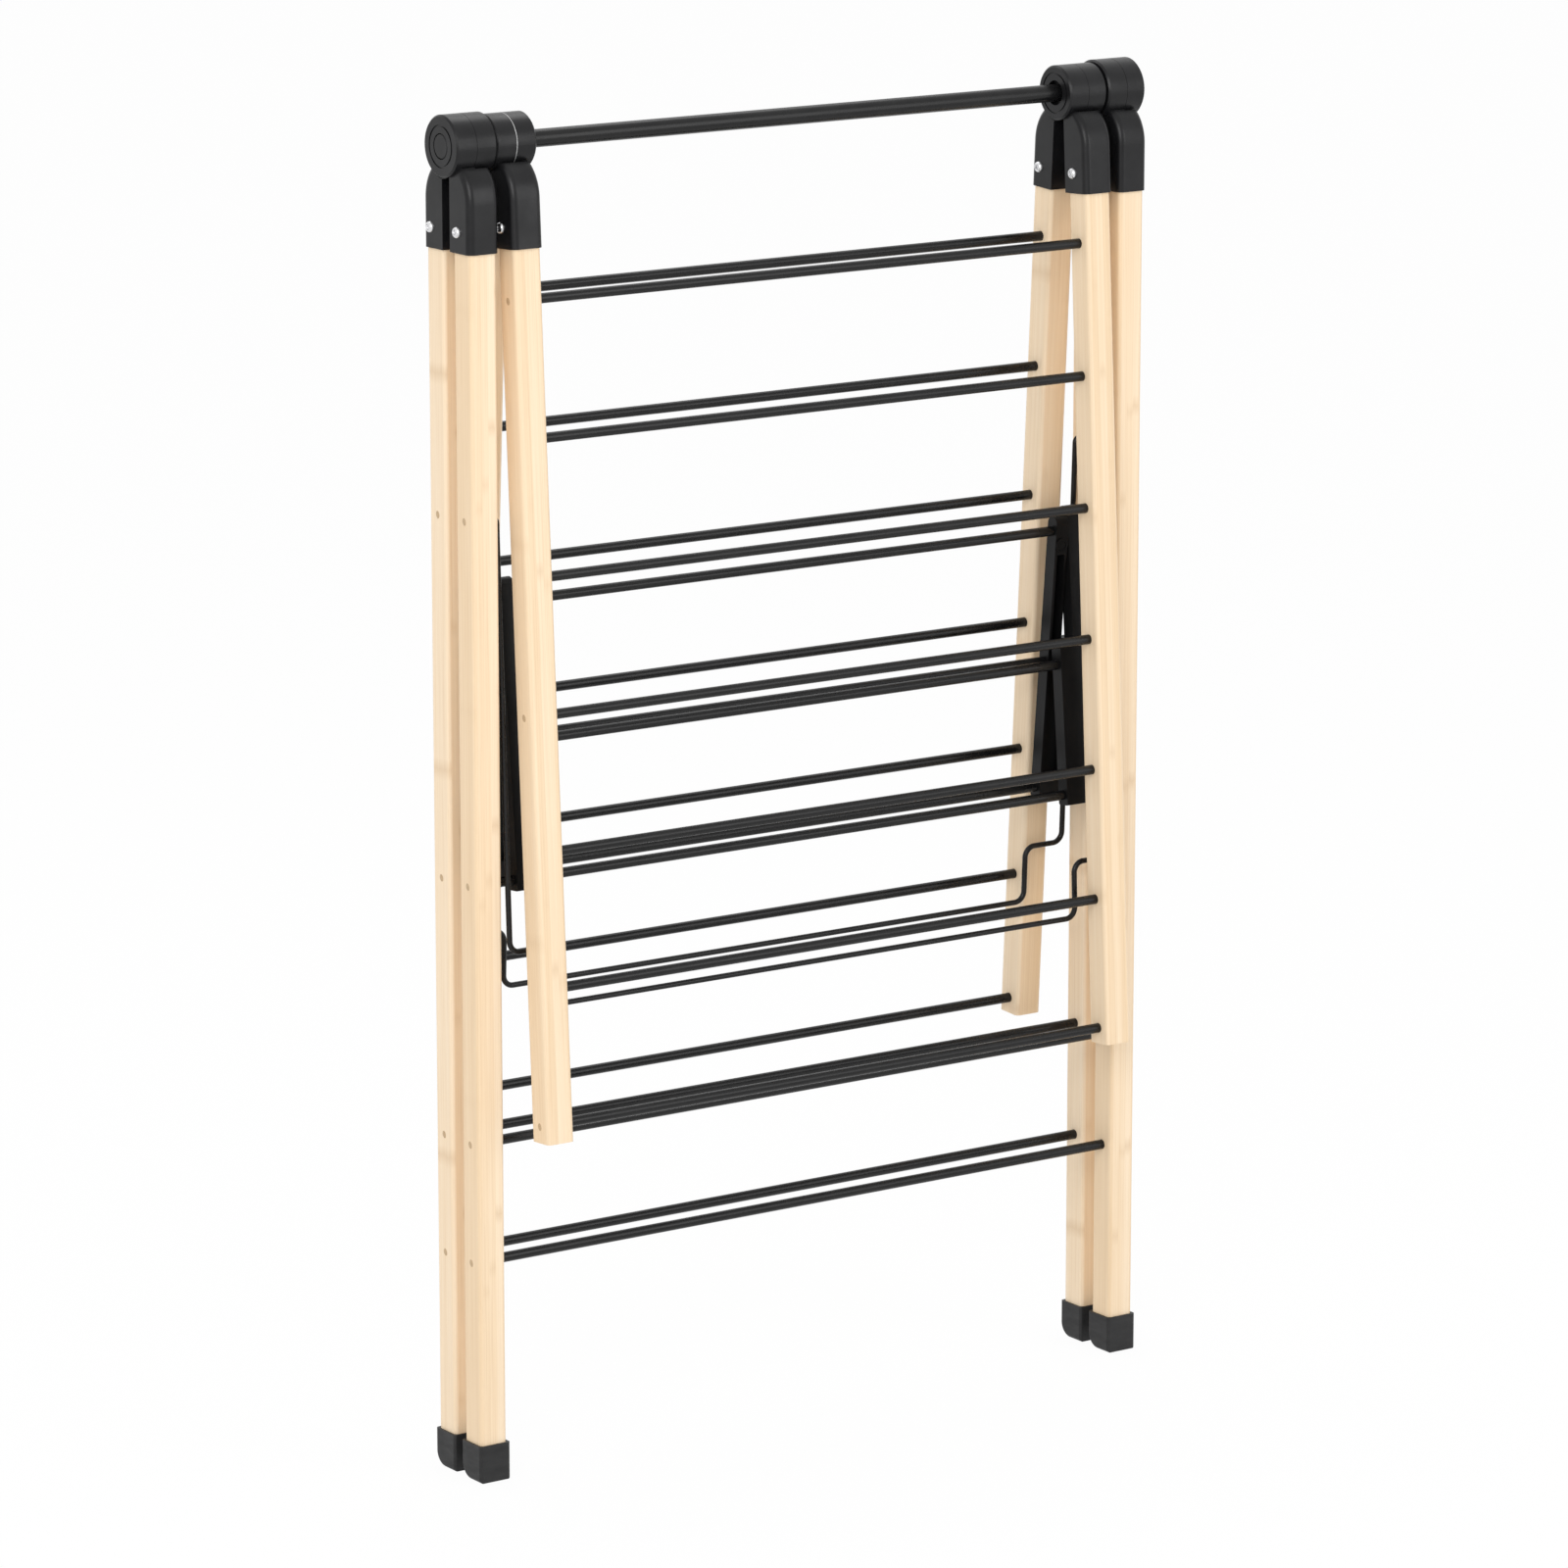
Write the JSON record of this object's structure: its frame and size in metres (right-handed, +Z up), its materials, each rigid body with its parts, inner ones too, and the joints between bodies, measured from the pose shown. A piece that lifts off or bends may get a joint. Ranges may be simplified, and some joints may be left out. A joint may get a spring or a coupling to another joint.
{
  "type": "folding gullwing drying rack",
  "caption": "Free-standing folding clothes airer, shown folded: bamboo legs and wing arms joined by black steel rods, moulded hinge caps on a top rail, wire wing props and a folding shelf",
  "frame": {"origin": "on the floor, midway between the four feet of the folded rack", "axes": "+Z up, +X along the rods to the right, -Y to the front"},
  "size_m": [0.652, 0.1484, 1.074],
  "materials": {
    "bamboo": "clear satin lacquer on laminated bamboo",
    "black_plastic": "fine satin moulded texture",
    "black_steel": "black satin powder coat",
    "zinc_steel": "bright zinc"
  },
  "bodies": {
    "front_frame": {"front_left_leg": "bamboo", "front_left_leg_cap": "black_plastic", "front_left_foot": "black_plastic", "front_right_leg": "bamboo", "front_right_leg_cap": "black_plastic", "front_right_foot": "black_plastic", "front_shelf_rail": "black_steel", "front_upper_rail": "black_steel", "front_lower_rail": "black_steel", "front_leg_screws": "zinc_steel", "hinge_rail": "black_steel", "hinge_washer": "zinc_steel", "left_rail_plug": "black_plastic", "right_rail_plug": "black_plastic"},
    "rear_frame": {"rear_left_leg": "bamboo", "rear_left_leg_cap": "black_plastic", "rear_left_foot": "black_plastic", "rear_right_leg": "bamboo", "rear_right_leg_cap": "black_plastic", "rear_right_foot": "black_plastic", "rear_shelf_rail": "black_steel", "rear_upper_rail": "black_steel", "rear_lower_rail": "black_steel", "rear_leg_screws": "zinc_steel"},
    "front_wing": {"front_wing_left_arm": "bamboo", "front_wing_left_cap": "black_plastic", "front_wing_right_arm": "bamboo", "front_wing_right_cap": "black_plastic", "front_wing_rod_1": "black_steel", "front_wing_rod_2": "black_steel", "front_wing_rod_3": "black_steel", "front_wing_rod_4": "black_steel", "front_wing_rod_5": "black_steel", "front_wing_rod_6": "black_steel", "front_wing_rod_7": "black_steel", "front_wing_screws": "zinc_steel"},
    "rear_wing": {"rear_wing_left_arm": "bamboo", "rear_wing_left_cap": "black_plastic", "rear_wing_right_arm": "bamboo", "rear_wing_right_cap": "black_plastic", "rear_wing_rod_1": "black_steel", "rear_wing_rod_2": "black_steel", "rear_wing_rod_3": "black_steel", "rear_wing_rod_4": "black_steel", "rear_wing_rod_5": "black_steel", "rear_wing_rod_6": "black_steel", "rear_wing_rod_7": "black_steel", "rear_wing_screws": "zinc_steel"},
    "front_prop": {"front_wing_prop": "black_steel"},
    "rear_prop": {"rear_wing_prop": "black_steel"},
    "front_shelf": {"front_shelf_left_strut": "black_plastic", "front_shelf_right_strut": "black_plastic", "front_shelf_rod": "black_steel"},
    "rear_shelf": {"rear_shelf_left_strut": "black_plastic", "rear_shelf_right_strut": "black_plastic", "rear_shelf_rod": "black_steel", "shelf_middle_rod": "black_steel"}
  },
  "joints": [
    {"name": "leg_spread", "type": "hinge", "parent": "front_frame", "child": "rear_frame", "pos_m": [0, 0, 1.05], "axis": [1, 0, 0], "range_deg": [0, 38.3]},
    {"name": "front_wing_lift", "type": "hinge", "parent": "front_frame", "child": "front_wing", "pos_m": [0, 0, 1.05], "axis": [-1, 0, 0], "range_deg": [0, 75]},
    {"name": "rear_wing_lift", "type": "hinge", "parent": "rear_frame", "child": "rear_wing", "pos_m": [0, 0, 1.05], "axis": [1, 0, 0], "range_deg": [0, 75]},
    {"name": "front_prop_swing", "type": "hinge", "parent": "front_frame", "child": "front_prop", "pos_m": [0, -0.019, 0.764], "axis": [-1, 0, 0], "range_deg": [0, 123.9]},
    {"name": "rear_prop_swing", "type": "hinge", "parent": "rear_frame", "child": "rear_prop", "pos_m": [0, 0.019, 0.764], "axis": [1, 0, 0], "range_deg": [0, 123.9]},
    {"name": "front_shelf_fold", "type": "hinge", "parent": "front_frame", "child": "front_shelf", "pos_m": [0, -0.019, 0.478], "axis": [-1, 0, 0], "range_deg": [0, 65.6]},
    {"name": "rear_shelf_fold", "type": "hinge", "parent": "rear_frame", "child": "rear_shelf", "pos_m": [0, 0.019, 0.478], "axis": [1, 0, 0], "range_deg": [0, 65.6]}
  ],
  "couplings": [
    {"joint": "front_shelf_fold", "follows": "leg_spread", "ratio": 1.708},
    {"joint": "rear_shelf_fold", "follows": "leg_spread", "ratio": 1.708},
    {"joint": "front_prop_swing", "follows": "front_wing_lift", "ratio": 1.65},
    {"joint": "rear_prop_swing", "follows": "rear_wing_lift", "ratio": 1.65}
  ]
}
